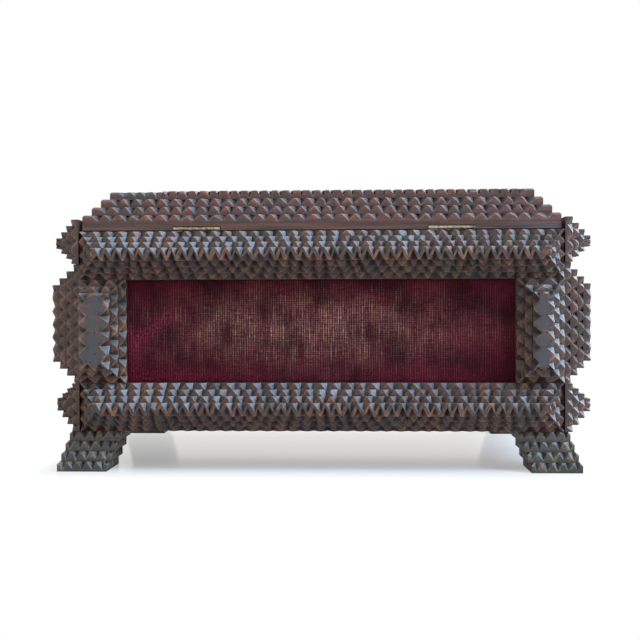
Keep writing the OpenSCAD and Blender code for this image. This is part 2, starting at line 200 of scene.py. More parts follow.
def varnished_cedar(name, deep, mid, worn, gloss, grime_and_shade_share):
    """Cigar-box cedar under old varnish: straight grain along each strip, olive stains, orange spots of
    bare wood, grime with painted shade in the valleys, pale arrises that are partly rubbed wood and partly
    a painted highlight, a dark haze on flats that is partly a painted reflection, and a grey bloom on
    slopes that face up that is partly dust and partly a painted sheen. deep and mid are the colours of the
    grain and worn that of bare wood, gloss is the roughness of whole varnish, and grime_and_shade_share is
    the share of grime and painted shade in a valley."""
    tree, shader, material = new_material(name)
    uv = add_node(tree, "ShaderNodeUVMap", {"uv_map": "grain"}).outputs[0]
    place = add_node(tree, "ShaderNodeTexCoord").outputs["Object"]
    # Long grain bands, fine pores, spots of rubbing with speckles down to 0.4 mm, and broad stains
    noise = {}
    for key, where, unit, size, detail, rough in (("band", uv, 1, (40, 1.5385, 1), 5.0, 0.6),
                                                  ("pore", uv, 1, (6.25, 0.3125, 1), 3.0, 0.5),
                                                  ("spot", place, MM, (6.25, 6.25, 6.25), 4.0, 0.7),
                                                  ("stain", place, MM, (25, 25, 25), 2.0, 0.5)):
        scale = [1 / (length * unit) for length in size]
        at = add_node(tree, "ShaderNodeMapping", None, Vector=where, Scale=scale).outputs[0]
        noise[key] = add_node(tree, "ShaderNodeTexNoise", None, Vector=at, Scale=1.0, Detail=detail,
                              Roughness=rough).outputs[0]
    mark = {key: add_node(tree, "ShaderNodeAttribute", {"attribute_name": key}).outputs["Fac"]
            for key in ("arris", "soil_and_shade", "flat", "tone", "upward")}
    height = add_node(tree, "ShaderNodeMath", {"operation": "MULTIPLY_ADD"}, _0=noise["spot"], _1=1.5,
                      _2=noise["pore"]).outputs[0]
    near = add_node(tree, "ShaderNodeMath", {"operation": "MULTIPLY_ADD"}, _0=noise["spot"], _1=-1.2,
                    _2=mark["arris"]).outputs[0]
    # Distance in metres from the nearest brad, whose hole is 1.1 mm across
    brad_gap = 1.0
    for brad in BRADS:
        gap = add_node(tree, "ShaderNodeVectorMath", {"operation": "DISTANCE"}, _0=place,
                       _1=tuple(c * MM for c in brad)).outputs["Value"]
        brad_gap = add_node(tree, "ShaderNodeMath", {"operation": "MINIMUM"}, _0=gap,
                            _1=brad_gap).outputs[0]
    # Rubbed arrises, pale from wear and from a painted highlight, are about 0.5 mm wide, and dust has
    # dulled the varnish on level faces
    ramp = {}
    for key, value, low, high, start, end in (("grain", noise["band"], 0.3, 0.7, 0.0, 1.0),
                                              ("tone", mark["tone"], 0.0, 1.0, 0.8, 1.15),
                                              ("stain", noise["stain"], 0.42, 0.62, 0.0, 0.65),
                                              ("spot", noise["spot"], 0.5, 0.66, 0.0, 0.85),
                                              ("by_arris", mark["arris"], 0.3, 2.4, 1.0, 0.3),
                                              ("slope", mark["upward"], 0.1, 0.6, 0.0, 0.55),
                                              ("not_level", mark["upward"], 0.85, 0.97, 1.0, 0.3),
                                              ("flat", mark["flat"], 0.0, 3.0, 0.0, 0.92),
                                              ("low", height, 1.0, 1.5, 1.0, 0.5),
                                              # grime and painted shade in the valleys and at the foot of
                                              # each edge
                                              ("grime_and_shade", mark["soil_and_shade"], 0.3, 0.8, 0.0, grime_and_shade_share),
                                              # pale arrises: worn wood and a painted highlight
                                              ("rubbed", near, -0.68, -0.3, 0.55, 0.0),
                                              ("hole", brad_gap, 0.5 * MM, 0.6 * MM, 1.0, 0.0),
                                              ("varnish", noise["spot"], 0.3, 0.7, gloss, gloss + 0.2),
                                              ("dust", mark["upward"], 0.9, 0.98, 0.0, 0.32)):
        ramp[key] = add_node(tree, "ShaderNodeMapRange", None, Value=value, From_Min=low, From_Max=high,
                             To_Min=start, To_Max=end).outputs[0]
    both = {}
    for key, operation, one, other in (("bare", "MULTIPLY", "spot", "by_arris"),
                                       # a grey bloom on slopes that face up, partly dust and partly a
                                       # painted sheen
                                       ("bloom_and_sheen", "MULTIPLY", "slope", "not_level"),
                                       # a dark haze on flats, partly old varnish and partly a painted
                                       # reflection
                                       ("haze_and_reflection", "MULTIPLY", "flat", "low"),
                                       ("rough", "ADD", "varnish", "dust")):
        both[key] = add_node(tree, "ShaderNodeMath", {"operation": operation}, _0=ramp[one],
                             _1=ramp[other]).outputs[0]
    colour = add_node(tree, "ShaderNodeMix", {"data_type": "RGBA"}, _0=ramp["grain"], _6=linear(deep),
                      _7=linear(mid)).outputs[2]
    colour = add_node(tree, "ShaderNodeVectorMath", {"operation": "SCALE"}, _0=colour,
                      Scale=ramp["tone"]).outputs[0]
    for factor, layer in ((ramp["stain"], "#2e2b1e"), (both["bare"], worn), (both["bloom_and_sheen"], "#60666d"),
                          (both["haze_and_reflection"], "#3b4246"), (ramp["grime_and_shade"], "#1b1913"),
                          (ramp["rubbed"], "#8f7c68"), (ramp["hole"], "#0a0908")):
        colour = add_node(tree, "ShaderNodeMix", {"data_type": "RGBA"}, _0=factor, _6=colour,
                          _7=linear(layer)).outputs[2]
    bump = add_node(tree, "ShaderNodeBump", None, Height=height, Strength=0.45,
                    Distance=0.3 * MM).outputs[0]
    connect(tree, shader, Base_Color=colour, Roughness=both["rough"], Normal=bump, IOR=1.52)
    return material


def plain_board(name, deep, mid, dark_end):
    """Sawn softwood board stained brown under a dull varnish: long grain along X in the colours deep and
    mid, and short dark cracks. It is darker by dark_end toward the right, and at its right end it turns
    grey, a painted sheen."""
    tree, shader, material = new_material(name)
    place = add_node(tree, "ShaderNodeTexCoord").outputs["Object"]
    # Grain bands and cracks: their length, their width on the face and their width on the edge
    noise = {}
    for key, size, detail, rough in (("band", (58.8, 2.381, 1.25), 6.0, 0.62),
                                     ("crack", (33.3, 1.667, 0.6667), 2.0, 0.5)):
        scale = [1 / (length * MM) for length in size]
        at = add_node(tree, "ShaderNodeMapping", None, Vector=place, Scale=scale).outputs[0]
        noise[key] = add_node(tree, "ShaderNodeTexNoise", None, Vector=at, Scale=1.0, Detail=detail,
                              Roughness=rough).outputs[0]
    right = add_node(tree, "ShaderNodeSeparateXYZ", None, Vector=place).outputs["X"]
    ramp = {}
    for key, value, low, high, start, end in (("grain", noise["band"], 0.4, 0.6, 0.0, 1.0),
                                              ("dark", right, -30 * MM, 60 * MM, 0.0, dark_end),
                                              ("rubbed", right, 100 * MM, 132 * MM, 0.0, 2 * dark_end),
                                              ("crack", noise["crack"], 0.58, 0.64, 0.0, 1.0),
                                              ("rough", noise["band"], 0.3, 0.7, 0.36, 0.55)):
        ramp[key] = add_node(tree, "ShaderNodeMapRange", None, Value=value, From_Min=low, From_Max=high,
                             To_Min=start, To_Max=end).outputs[0]
    colour = linear(deep)
    # The grey at the right end is a painted sheen
    for key, layer in (("grain", mid), ("dark", "#1f1411"), ("rubbed", "#5a5357"), ("crack", "#1f1411")):
        colour = add_node(tree, "ShaderNodeMix", {"data_type": "RGBA"}, _0=ramp[key], _6=colour,
                          _7=linear(layer)).outputs[2]
    bump = add_node(tree, "ShaderNodeBump", None, Height=noise["band"], Strength=0.3,
                    Distance=0.3 * MM).outputs[0]
    connect(tree, shader, Base_Color=colour, Roughness=ramp["rough"], Normal=bump, IOR=1.55)
    return material


def dulled_brass(name, clean, stain):
    """Rolled sheet brass that has dulled: warm metal with brown stains and fine scratches along X."""
    tree, shader, material = new_material(name)
    place = add_node(tree, "ShaderNodeTexCoord").outputs["Object"]
    # Stains, scratches, and zones of about a knuckle's length, since each knuckle has dulled by itself
    noise = {}
    for key, size, detail, rough in (("spot", (2.222, 2.222, 2.222), 5.0, 0.7),
                                     ("scratch", (4, 0.2, 0.2), 2.0, 0.5),
                                     ("zone", (11.36, 11.36, 11.36), 1.0, 0.5)):
        scale = [1 / (length * MM) for length in size]
        at = add_node(tree, "ShaderNodeMapping", None, Vector=place, Scale=scale).outputs[0]
        noise[key] = add_node(tree, "ShaderNodeTexNoise", None, Vector=at, Scale=1.0, Detail=detail,
                              Roughness=rough).outputs[0]
    both = add_node(tree, "ShaderNodeMath", {"operation": "MULTIPLY_ADD"}, _0=noise["zone"], _1=0.5,
                    _2=noise["spot"]).outputs[0]
    tarnish = add_node(tree, "ShaderNodeMapRange", None, Value=both, From_Min=0.67,
                       From_Max=0.95).outputs[0]
    colour = add_node(tree, "ShaderNodeMix", {"data_type": "RGBA"}, _0=tarnish, _6=linear(clean),
                      _7=linear(stain)).outputs[2]
    rough = add_node(tree, "ShaderNodeMapRange", None, Value=noise["spot"], From_Min=0.3, From_Max=0.75,
                     To_Min=0.3, To_Max=0.55).outputs[0]
    bump = add_node(tree, "ShaderNodeBump", None, Height=noise["scratch"], Strength=0.15,
                    Distance=0.05 * MM).outputs[0]
    connect(tree, shader, Base_Color=colour, Roughness=rough, Normal=bump, Metallic=1.0)
    return material


def worn_velvet(name):
    """Burgundy silk velvet: dark pile with a painted pink sheen where it is brushed up, rubbed thin in the
    middle, where its beige ground threads show through as a veil of fine lines up and across."""
    tree, shader, material = new_material(name)
    uv = add_node(tree, "ShaderNodeUVMap", {"uv_map": "weave"}).outputs[0]
    mark = {key: add_node(tree, "ShaderNodeAttribute", {"attribute_name": key}).outputs["Fac"]
            for key in ("bare", "brushed")}
    # Clouds in the pile, rubbed streaks, fuzz, and the stretches over which a thread of the warp or the
    # weft shows, by their width and their height
    noise = {}
    for key, across, up, detail in (("cloud", 20, 16.67, 4.0), ("streak", 5, 25, 3.0),
                                    ("fuzz", 1, 1.4286, 2.0), ("warp", 0.4167, 11.11, 1.0),
                                    ("weft", 8.333, 0.4762, 1.0)):
        at = add_node(tree, "ShaderNodeMapping", None, Vector=uv, Scale=(1 / across, 1 / up, 1)).outputs[0]
        noise[key] = add_node(tree, "ShaderNodeTexNoise", None, Vector=at, Scale=1.0,
                              Detail=detail).outputs[0]
    # Rows of threads, drawn 1.35 mm and 1.2 mm apart, wider than the real spacing, to show in the picture
    row = {}
    for key, direction, spacing in (("warp", "X", 1.35), ("weft", "Y", 1.2)):
        row[key] = add_node(tree, "ShaderNodeTexWave", {"bands_direction": direction}, Vector=uv,
                            Scale=math.pi / (10 * spacing), Distortion=0.9, Detail=1.0,
                            Detail_Scale=0.6).outputs["Fac"]
    thin = add_node(tree, "ShaderNodeMath", {"operation": "ADD"}, _0=noise["streak"],
                    _1=noise["cloud"]).outputs[0]
    ramp = {}
    for key, value, low, high, start, end in (("pile", noise["cloud"], 0.35, 0.65, 0.0, 1.0),
                                              ("raised", noise["fuzz"], 0.4, 0.65, 0.0, 1.0),
                                              ("warp", row["warp"], 0.35, 0.9, 0.0, 1.0),
                                              ("warp_shows", noise["warp"], 0.42, 0.62, 0.08, 1.0),
                                              ("weft", row["weft"], 0.4, 0.9, 0.0, 0.5),
                                              ("weft_shows", noise["weft"], 0.42, 0.6, 0.1, 1.0),
                                              ("weft_fills", noise["weft"], 0.36, 0.47, 0.0, 1.0),
                                              ("thin", thin, 0.78, 1.25, 0.22, 1.0),
                                              ("fuzz", noise["fuzz"], 0.36, 0.62, 0.5, 1.4)):
        ramp[key] = add_node(tree, "ShaderNodeMapRange", None, Value=value, From_Min=low, From_Max=high,
                             To_Min=start, To_Max=end).outputs[0]
    # The veil is strongest where the cloth is bare, in the rubbed streaks and along the threads, and dark
    # gaps are left between the threads
    both = {}
    for key, operation, one, other in (("painted_sheen", "MULTIPLY", mark["brushed"], ramp["raised"]),
                                       ("upright", "MULTIPLY", ramp["warp"], ramp["warp_shows"]),
                                       ("level", "MULTIPLY", ramp["weft"], ramp["weft_shows"]),
                                       ("streaks", "MULTIPLY", mark["bare"], ramp["thin"]),
                                       ("between", "MINIMUM", row["warp"], ramp["weft_fills"])):
        both[key] = add_node(tree, "ShaderNodeMath", {"operation": operation}, _0=one, _1=other).outputs[0]
    thread = add_node(tree, "ShaderNodeMath", {"operation": "MAXIMUM"}, _0=both["upright"],
                      _1=both["level"]).outputs[0]
    thread = add_node(tree, "ShaderNodeMapRange", None, Value=thread, To_Min=0.07).outputs[0]
    rubbed = add_node(tree, "ShaderNodeMath", {"operation": "MULTIPLY"}, _0=both["streaks"],
                      _1=ramp["fuzz"]).outputs[0]
    veil = add_node(tree, "ShaderNodeMath", {"operation": "MULTIPLY", "use_clamp": True}, _0=rubbed,
                    _1=thread).outputs[0]
    gap = add_node(tree, "ShaderNodeMapRange", None, Value=both["between"], From_Max=0.35, To_Min=0.55,
                   To_Max=0.0).outputs[0]
    colour = linear("#340811")
    # The pink where the pile is brushed up is a painted sheen
    for factor, layer in ((ramp["pile"], "#55101f"), (both["painted_sheen"], "#881a3b"), (veil, "#c8967e"),
                          (gap, "#1d070c")):
        colour = add_node(tree, "ShaderNodeMix", {"data_type": "RGBA"}, _0=factor, _6=colour,
                          _7=linear(layer)).outputs[2]
    weave = add_node(tree, "ShaderNodeMath", {"operation": "ADD"}, _0=both["upright"],
                     _1=both["level"]).outputs[0]
    bump = add_node(tree, "ShaderNodeBump", None, Height=weave, Strength=0.4,
                    Distance=0.3 * MM).outputs[0]
    connect(tree, shader, Base_Color=colour, Normal=bump, Roughness=0.9, Specular_IOR_Level=0.1,
            Sheen_Weight=0.06, Sheen_Roughness=0.4, Sheen_Tint=linear("#c0557a"))
    return material


CARVED = varnished_cedar("varnished_cedar", "#2b1912", "#60392b", "#905634", gloss=0.34, grime_and_shade_share=0.88)
LID_CEDAR = varnished_cedar("lid_cedar", "#371c15", "#774335", "#a2573c", gloss=0.42, grime_and_shade_share=0.86)
FOOT_WOOD = varnished_cedar("foot_cedar", "#332d27", "#62564a", "#9c8358", gloss=0.34, grime_and_shade_share=0.75)
PATCH_WOOD = varnished_cedar("patch_pine", "#331f1b", "#5e3d38", "#7a5546", gloss=0.36, grime_and_shade_share=0.6)
BOARD_WOOD = plain_board("stained_board", "#33201a", "#5a382b", dark_end=0.0)
LID_WOOD = plain_board("lid_board_wood", "#20120e", "#683b2b", dark_end=0.26)
BRASS = dulled_brass("dulled_brass", "#aa9e82", "#594e46")
VELVET = worn_velvet("worn_velvet")

# Carved boards


def corner_bevel(edge, wear):
    """The bevel at a board's corner: a small one, and more by a share of the corner's wear."""
    return CORNER_BEVEL + CORNER_ROUND * wear["corners"] * edge


def notch_cuts(length, pitch, edge, face, shifted, wear, margins):
    """One hand-cut row of V notches along an edge, as two functions of the place along it: the depth
    down the edge and the reach across the face. Both rise in straight flanks from a small worn bevel
    at each tooth to a peak at each valley. A shifted row has valleys where the other row has teeth.
    wear gives the width of the teeth's lands, and how far teeth and corners are rubbed down, as shares.
    margins are the lengths left plain at the start and the end."""
    span = length - sum(margins)
    count = max(2, round(span / pitch))
    p = span / count
    valley = np.arange(1, count) * p if shifted else (np.arange(count) + 0.5) * p
    valley = margins[0] + valley + rng.uniform(-VALLEY_STRAY, VALLEY_STRAY, valley.size) * p
    tooth = 0.5 * (valley[1:] + valley[:-1]) + rng.uniform(-TOOTH_STRAY, TOOTH_STRAY, valley.size - 1) * p
    land = wear["land"] * rng.uniform(*LAND_RANGE, tooth.size)
    room = CORNER_ROOM * min(valley[0], length - valley[-1])
    corner = min(max(CORNER_LAND, wear["corners"] * face / INSIDE), room)
    first = max(valley[0] - 0.5 * p + CORNER_LAND, corner)
    last = min(valley[-1] + 0.5 * p - CORNER_LAND, length - corner)
    left = np.concatenate([[first], tooth + land / 2])
    right = np.concatenate([tooth - land / 2, [last]])
    cut = rng.normal(1.0, CUT_SPREAD, valley.size).clip(SHALLOWEST_CUT, DEEPEST_CUT)
    chip = wear["teeth"] + rng.uniform(*RUBBED_TOOTH, valley.size + 1)
    chipped = rng.uniform(size=chip.size) < CHIPPED_TEETH
    chip = np.where(chipped, rng.uniform(*CHIPPED_TOOTH, chip.size), chip)
    chip[[0, -1]] = wear["corners"]
    bevel = corner_bevel(edge, wear)
    reach = np.minimum(face * cut, INSIDE * np.minimum(valley, length - valley))
    at = np.concatenate([[0.0], np.stack([left, valley, right], 1).ravel(), [length]])
    down = np.stack([edge * chip[:-1], edge * cut, edge * chip[1:]], 1).ravel()
    over = np.stack([face * chip[:-1], reach, face * chip[1:]], 1).ravel()
    down = np.concatenate([[bevel], down, [bevel]])
    over = np.concatenate([[bevel], over, [bevel]])
    lean = rng.uniform(-LEAN_STRAY, LEAN_STRAY, valley.size) * p
    return {"at": at, "down": down, "over": over, "valley": valley, "lean": lean, "edge": edge}


def plain_cuts(length, edge, wear):
    """An edge with no notches, for a seam: a fine bevel that widens to the worn corners at its ends."""
    corner = corner_bevel(edge, wear)
    bevel = np.array([corner, SEAM_BEVEL, SEAM_BEVEL, corner])
    return {"at": np.array([0.0, 2 * corner, length - 2 * corner, length]), "down": bevel, "over": bevel,
            "valley": np.array([0.0, length]), "lean": np.zeros(2), "edge": edge}


def edge_sheet(row, place, length, thick, corner, inward, middle, inset):
    """One edge of a board as a grid: across the underside from the middle, up the edge, up the notch
    along a straight line from the edge to the face, past a rim and over the face to the middle. The rim
    is a straight line at inset from the edge or, on a narrow board with no inset, a short way past the
    notches. corner is where the edge starts, inward points into the board, and the edge runs to its
    right. Beside the points it gives each point's distance from the arris, its share of soil and painted
    shade, and its distance from the edge of the flat that the notches leave."""
    along = np.array([inward[1], -inward[0]])
    down = np.interp(place, row["at"], row["down"])[None, :]
    over = np.interp(place, row["at"], row["over"])[None, :]
    lean = np.interp(place, row["valley"], row["lean"])[None, :]
    s = ALONG_NOTCH[:, None]
    at_end = (place < LEAST) * 1.0 - (place > length - LEAST) * 1.0
    shift = lean * (down / row["edge"]).clip(0, 1) * s * (at_end == 0) + at_end * over * s
    base = corner + place[:, None] * along
    inside = np.where(at_end == 0, INSIDE * np.minimum(place + shift, length - place - shift), over * s)
    flank = base[None] + shift[..., None] * along + np.minimum(over * s, inside)[..., None] * inward
    rise = thick - down * (1 - s)
    zero = np.zeros_like(down)
    across = np.linalg.norm(middle - flank[-1], axis=1)[None]
    if inset:
        past = corner + place.clip(inset, length - inset)[:, None] * along + inset * inward
    else:
        past = flank[-1] + (middle - flank[-1]) * (SOIL_AND_SHADE_RIM / np.maximum(across, SOIL_AND_SHADE_RIM)).T
    rim = np.linalg.norm(past - flank[-1], axis=1)[None]
    rows_z = np.concatenate([zero, zero, rise, zero + thick, zero + thick])
    rows_xy = np.concatenate([middle[None], base[None], flank, past[None], middle[None]])
    points = np.concatenate([rows_xy, rows_z[..., None]], 2)
    between = np.hypot(down, over) * s * (1 - s) * 2
    arris = np.concatenate([zero + FAR_FROM_ARRIS, thick - down, between, rim, across])
    hollow = ((down / row["edge"] - UNDARKENED_LIP) / (1 - UNDARKENED_LIP)).clip(0, 1)
    # Soil and painted shade: most deep in a notch, and some at the foot of the edge
    soil_and_shade = np.concatenate([zero, zero + FOOT_SOIL_AND_SHADE, hollow * SOIL_AND_SHADE_UP_NOTCH[:, None], zero, zero])
    flat = np.concatenate([zero, zero, np.repeat(zero, len(s), 0), rim, across])
    return points, arris, soil_and_shade, flat


def grid_triangles(rows, columns):
    """Two triangles for each cell of a grid of rows by columns, wound with the columns to the right."""
    i, j = np.meshgrid(np.arange(rows - 1), np.arange(columns - 1), indexing="ij")
    a = (i * columns + j).ravel()
    b, c, d = a + 1, a + columns + 1, a + columns
    return np.concatenate([np.stack([a, b, c], 1), np.stack([a, c, d], 1)])


def carved_board(long, short, thick, pitch, edge=NOTCH_EDGE, face=NOTCH_FACE, cut=(1, 1, 1, 1),
                 ridged=True, wear=FRESH, most=(math.inf, math.inf)):
    """A flat board, long by short by thick, centred on the origin and standing on z = 0, with a row of
    notches along the upper arris of the edges that cut marks: front, right, back and left. The face
    is joined along the board's middle line. On a narrow board the rows are staggered if it is ridged,
    and the line winds between them. most limits the reach of the front and back rows."""
    long, short, thick = (round(float(size), DECIMALS) for size in (long, short, thick))
    narrow = short < 2 * face + TOOTH_LAND
    side_face = min(face, (RIDGE_SHARE if ridged else FLAT_SHARE) * short)
    end_face = min(face, END_SHARE * short)

    def row(length, reach, side, shifted=False):
        """The row on a side, plain beside the corners that it shares with notched sides."""
        margins = (wear["margin"] * cut[side - 1], wear["margin"] * cut[(side + 1) % 4])
        if cut[side]:
            return notch_cuts(length, pitch, edge, reach, shifted, wear, margins)
        return plain_cuts(length, edge, wear)

    front = row(long, min(side_face, most[0]), 0)
    back = row(long, min(side_face, most[1]), 2, narrow and ridged)
    right, left = row(short, end_face, 1), row(short, end_face, 3)
    mirrored = dict(back, at=long - back["at"][::-1], down=back["down"][::-1], over=back["over"][::-1])
    half = 0.5 * min(short, long - LEAST_RIDGE)
    inset = DEEPEST_CUT * face + SOIL_AND_SHADE_RIM
    if inset > half:
        inset = 0
    x = np.unique(np.concatenate([front["at"], mirrored["at"], [half, long - half]]).round(DECIMALS))
    # Where the notches of front and back would meet, both are shortened to leave a thin ridge
    near = np.interp(x, front["at"], front["over"])
    far = np.interp(x, mirrored["at"], mirrored["over"])
    fit = np.minimum(1.0, (short - THIN_RIDGE) / (near + far))
    front = dict(front, at=x, down=np.interp(x, front["at"], front["down"]), over=near * fit)
    back = dict(back, at=long - x[::-1], down=np.interp(x, mirrored["at"], mirrored["down"])[::-1],
                over=(far * fit)[::-1])
    ridge_x = x.clip(half, long - half)
    ridge_y = 0.5 * (short + np.interp(ridge_x, x, near * fit) - np.interp(ridge_x, x, far * fit))
    ridge = np.stack([ridge_x, ridge_y], 1)
    grids = [edge_sheet(front, x, long, thick, np.zeros(2), np.array([0.0, 1.0]), ridge, inset),
             edge_sheet(back, long - x[::-1], long, thick, np.array([long, short]),
                        np.array([0.0, -1.0]), ridge[::-1], inset)]
    for end_row, start, inward, end in ((right, (long, 0.0), (-1.0, 0.0), ridge[-1]),
                                        (left, (0.0, short), (1.0, 0.0), ridge[0])):
        y = np.unique(end_row["at"].round(DECIMALS))
        grids.append(edge_sheet(end_row, y, short, thick, np.array(start), np.array(inward),
                                np.repeat(end[None], y.size, 0), inset))
    parts = {"points": [], "tris": [], "arris": [], "soil_and_shade": [], "flat": []}
    offset = 0
    for points, arris, soil_and_shade, flat in grids:
        rows, columns = arris.shape
        parts["points"].append(points.reshape(-1, 3))
        parts["tris"].append(grid_triangles(rows, columns) + offset)
        for key, value in (("arris", arris), ("soil_and_shade", soil_and_shade), ("flat", flat)):
            parts[key].append(value.ravel())
        offset += rows * columns
    board = {key: np.concatenate(value) for key, value in parts.items()}
    board["grain"] = board["points"][:, :2] + board["points"][:, 2:] + rng.uniform(0, PLANK, 2)
    board["points"] = board["points"] - [long / 2, short / 2, 0]
    board["tone"] = np.full(len(board["points"]), rng.uniform(0.0, 1.0))
    return board


def placed(board, turn=np.eye(3), move=(0, 0, 0)):
    """The same board turned by a 3 by 3 matrix and then moved."""
    return dict(board, points=board["points"] @ np.asarray(turn).T + np.asarray(move))


def joined(boards):
    """Several boards as one set of arrays."""
    starts = np.cumsum([0] + [len(b["points"]) for b in boards[:-1]])
    whole = {key: np.concatenate([b[key] for b in boards])
             for key in ("points", "arris", "soil_and_shade", "flat", "tone", "grain")}
    whole["tris"] = np.concatenate([b["tris"] + s for b, s in zip(boards, starts)])
    return whole


def board_object(name, board, material):
    """A mesh object of the boards, in metres: equal corners are welded and flat triangles dropped. How far
    each face points up is kept, for the bloom with its painted sheen and the dust on it."""
    points, first, same = np.unique((board["points"] * WELD_STEPS).round().astype(np.int64), axis=0,
                                    return_index=True, return_inverse=True)
    tris = same.ravel()[board["tris"]]
    whole = (tris[:, 0] != tris[:, 1]) & (tris[:, 1] != tris[:, 2]) & (tris[:, 2] != tris[:, 0])
    tris, source = tris[whole], board["tris"][whole]
    mesh = bpy.data.meshes.new(name)
    mesh.from_pydata((points / WELD_STEPS * MM).tolist(), [], tris.tolist())
    uv = mesh.uv_layers.new(name="grain")
    uv.data.foreach_set("uv", board["grain"][source.ravel()].ravel().astype(np.float32))
    for key in ("arris", "soil_and_shade", "flat", "tone"):
        layer = mesh.attributes.new(key, "FLOAT", "POINT")
        layer.data.foreach_set("value", board[key][first].astype(np.float32))
    sides = points[tris[:, 1:]] - points[tris[:, :1]]
    normal = np.cross(sides[:, 0], sides[:, 1]).astype(float)
    upward = normal[:, 2] / np.linalg.norm(normal, axis=1).clip(LEAST)
    layer = mesh.attributes.new("upward", "FLOAT", "FACE")
    layer.data.foreach_set("value", upward.astype(np.float32))
    mesh.materials.append(material)
    piece = bpy.data.objects.new(name, mesh)
    bpy.context.scene.collection.objects.link(piece)
    return piece


def carved_piece(node, boards, material, body):
    """One piece made of boards. It rides on a body and stands in for the plain solid."""
    piece = board_object("carved_" + node, joined(boards), material)
    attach(piece, body)
    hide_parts(node)


def corners(node):
    """The lowest and the highest corner of a solid, in millimetres."""
    return (np.array(corner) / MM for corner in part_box(node))


def on_wall(node, turn):
    """How a solid stands on the wall at turn: the matrix that puts X along the wall, Y up and Z out of it,
    the solid's size in those directions, and the middle of its back."""
    c, s = round(math.cos(math.radians(turn))), round(math.sin(math.radians(turn)))
    stand = np.array([[c, -s, 0], [s, c, 0], [0, 0, 1]]) @ np.array([[1, 0, 0], [0, 0, -1], [0, 1, 0]])
    low, high = corners(node)
    size = np.abs(stand.T @ (high - low))
    return stand, size, (low + high) / 2 - stand[:, 2] * size[2] / 2


# Rails and posts

TURNS = {"back": 0, "front": 180, "right": 90, "left": -90}
QUARTER = np.array([[0, -1, 0], [1, 0, 0], [0, 0, 1]])


def carved_stack(node, turn, strips, step_along, step_up, pitches, aside=0.0):
    """A rail or post: carved strips, each smaller than the one under it, on the wall at turn. Each strip
    lies further along the wall than the one under it by aside, and there its notches are short."""
    stand, size, foot = on_wall(node, turn)
    boards = []
    for i in range(strips):
        along, up = size[0] - 2 * i * step_along, size[1] - 2 * i * step_up
        tall = up > along
        outermost = i == strips - 1
        short_reach = NOTCH_FACE if outermost else CORNER_REACH
        most = (short_reach if aside > 0 else NOTCH_FACE, short_reach if aside < 0 else NOTCH_FACE)
        strip = carved_board(max(along, up), min(along, up), STRIP_T - GLUE_T, pitches[i], ridged=not tall,
                             most=most)
        # Only the fronts of the posts have hazy flats, partly a painted reflection
        strip["flat"] = strip["flat"] * (tall and outermost)
        strip["arris"] = strip["arris"] * (CORNER_RUB_AND_HIGHLIGHT if aside else 1.0)
        strip = placed(strip, QUARTER if tall else np.eye(3), (i * aside, 0, i * STRIP_T))
        boards.append(placed(strip, stand, foot))
    carved_piece(node, boards, CARVED, "box")


for wall, turn in TURNS.items():
    end_wall = wall in ("left", "right")
    end_step = END_RAIL_STEP if end_wall else RAIL_END_STEP
    top_step = CREST_STEP if end_wall else RAIL_STEP
    carved_stack(f"rail_{wall}_top", turn, STRIPS, end_step, top_step, RAIL_PITCH)
    carved_stack(f"rail_{wall}_bottom", turn, STRIPS, end_step, RAIL_STEP, RAIL_PITCH)
    for side in ("back", "front") if end_wall else ("left", "right"):
        # At the rear left corner the strips of both posts lie further out
        inner = END_POST_STEP if end_wall else POST_STEP
        outer = CORNER_STEP if {wall, side} == {"back", "left"} else inner
        toward = 1 if end_wall else -1
        carved_stack(f"post_{wall}_{side}", turn, STRIPS if end_wall else POST_STRIPS, (inner + outer) / 2,
                     POST_END_STEP, POST_PITCH, toward * (inner - outer) / 2)

# Feet


def carved_foot(node):
    """A foot: four carved square plates, each further out from the box's middle than the one above."""
    low, high = corners(node)
    out = np.sign(low + high)
    tip = np.where(out > 0, high, low) - out * FOOT_W / 2
    boards = []
    for i in reversed(range(FOOT_PLATES)):
        plate = carved_board(FOOT_W, FOOT_W, FOOT_T - GLUE_T, FOOT_PITCH, FOOT_NOTCH, FOOT_REACH,
                             wear=FOOT_WEAR)
        back = i * FOOT_SPLAY
        boards.append(placed(plate, move=(tip[0] - out[0] * back, tip[1] - out[1] * back, i * FOOT_T)))
    carved_piece(node, boards, FOOT_WOOD, "box")


for end in ("back", "front"):
    for side in ("left", "right"):
        carved_foot(f"foot_{end}_{side}")

# Lid


def tier_board(low, high, pitch, edge, face, cut=(1, 1, 1, 1), wear=TIER_WEAR):
    """A carved board of the lid between two corners, notched on the edges that cut marks, with no haze or
    painted reflection on its flats.
    """
    low, high = np.array(low), np.array(high)
    board = carved_board(*(high - low), pitch, edge, face, cut, wear=wear)
    board["flat"] = board["flat"] * 0
    return placed(board, move=((low + high)[0] / 2, (low + high)[1] / 2, low[2]))


for i in range(3):
    node = f"lid_tier_{i + 1}"
    board = tier_board(*corners(node), TIER_PITCH[i], TIER_NOTCH[i], TIER_REACH)
    carved_piece(node, [board], LID_CEDAR, "lid")
# The top tier's teeth are broader. Its rear left corner was cut out for a replaced piece with shallow
# notches, so the tier is two boards
low, high = corners("lid_tier_4")
seam = low[0] + PATCH_W + PATCH_GAP
top_cut = (TIER_PITCH[3], TIER_NOTCH[3], TOP_REACH)
main = tier_board((seam, low[1], low[2]), high, *top_cut, (1, 1, 1, 0), TOP_WEAR)
beside = tier_board((low[0], low[1] + PATCH_D + PATCH_GAP, low[2]), (seam - SEAM_BEVEL, high[1], high[2]),
                    *top_cut, (0, 0, 1, 1), TOP_WEAR)
carved_piece("lid_tier_4", [main, beside], LID_CEDAR, "lid")
patch = tier_board(*corners("lid_patch"), PATCH_PITCH, PATCH_NOTCH, PATCH_REACH, (1, 0, 0, 1))
carved_piece("lid_patch", [patch], PATCH_WOOD, "lid")

# Velvet


def hill(u, v, centre, spread):
    """A smooth hill of height 1 over the place centre, with the half widths spread."""
    return np.exp(-((u - centre[0]) / spread[0]) ** 2 - ((v - centre[1]) / spread[1]) ** 2)


